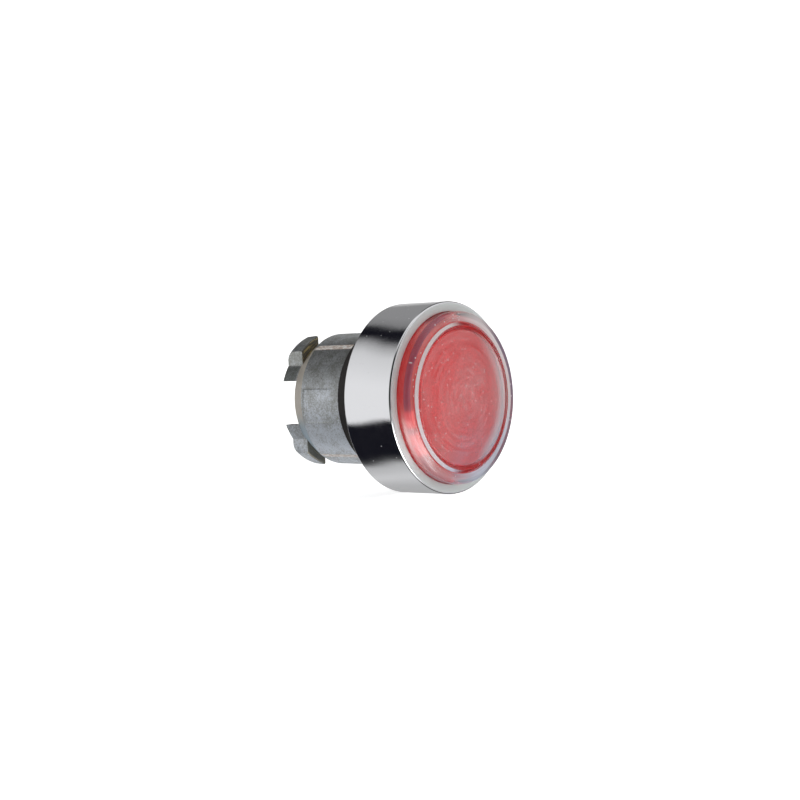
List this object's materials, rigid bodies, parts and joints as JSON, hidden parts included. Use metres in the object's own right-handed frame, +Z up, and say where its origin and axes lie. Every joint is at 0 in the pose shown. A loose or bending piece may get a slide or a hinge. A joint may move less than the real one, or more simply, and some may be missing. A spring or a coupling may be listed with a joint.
{
  "type": "industrial push button head",
  "caption": "Panel push button head with a chromed bezel, clear rubber boot over a red lens, die-cast barrel with bayonet claws, and a spring-returned plunger.",
  "frame": {"origin": "middle of the object's bounding box, on the button's axis, 2.925 mm behind the panel's front face", "axes": "+Y along the button's axis from the lens towards the claws, the way the button is pressed; +Z up, -X to the left side of a person facing the button"},
  "size_m": [0.029, 0.0298, 0.029],
  "materials": {
    "die_cast_zinc": "dull die-cast zinc alloy, slightly mottled",
    "chrome_plate": "chrome plate, finely brushed round the rim, satin front edge",
    "black_rubber": "matt black nitrile rubber",
    "clear_silicone": "clear moulded silicone with a slight haze",
    "grey_nylon": "moulded grey nylon",
    "white_acetal": "natural acetal",
    "steel": "bright spring steel",
    "red_lens": "red translucent polycarbonate",
    "milky_plastic": "white translucent polycarbonate",
    "clear_plastic": "clear acrylic",
    "black_nylon": "moulded black nylon"
  },
  "bodies": {
    "housing": {"operator_body": "die_cast_zinc", "bezel": "chrome_plate", "panel_gasket": "black_rubber", "boot": "clear_silicone", "boot_clamp_ring": "grey_nylon", "guide_bush": "white_acetal", "lip_seal": "black_rubber", "spring_seat": "steel", "stop_washer": "black_rubber", "return_spring": "steel"},
    "button": {"lens_cap": "red_lens", "diffuser": "milky_plastic", "lens_carrier": "milky_plastic", "light_guide": "clear_plastic", "plunger": "black_nylon", "retaining_clip": "steel", "pusher": "black_nylon"}
  },
  "joints": [
    {"name": "press", "type": "slide", "parent": "housing", "child": "button", "axis": [0, 1, 0], "range_m": [0, 0.004], "stiffness_N_per_m": 500, "springref_m": -0.008, "deforming": ["return_spring", "boot"]}
  ]
}
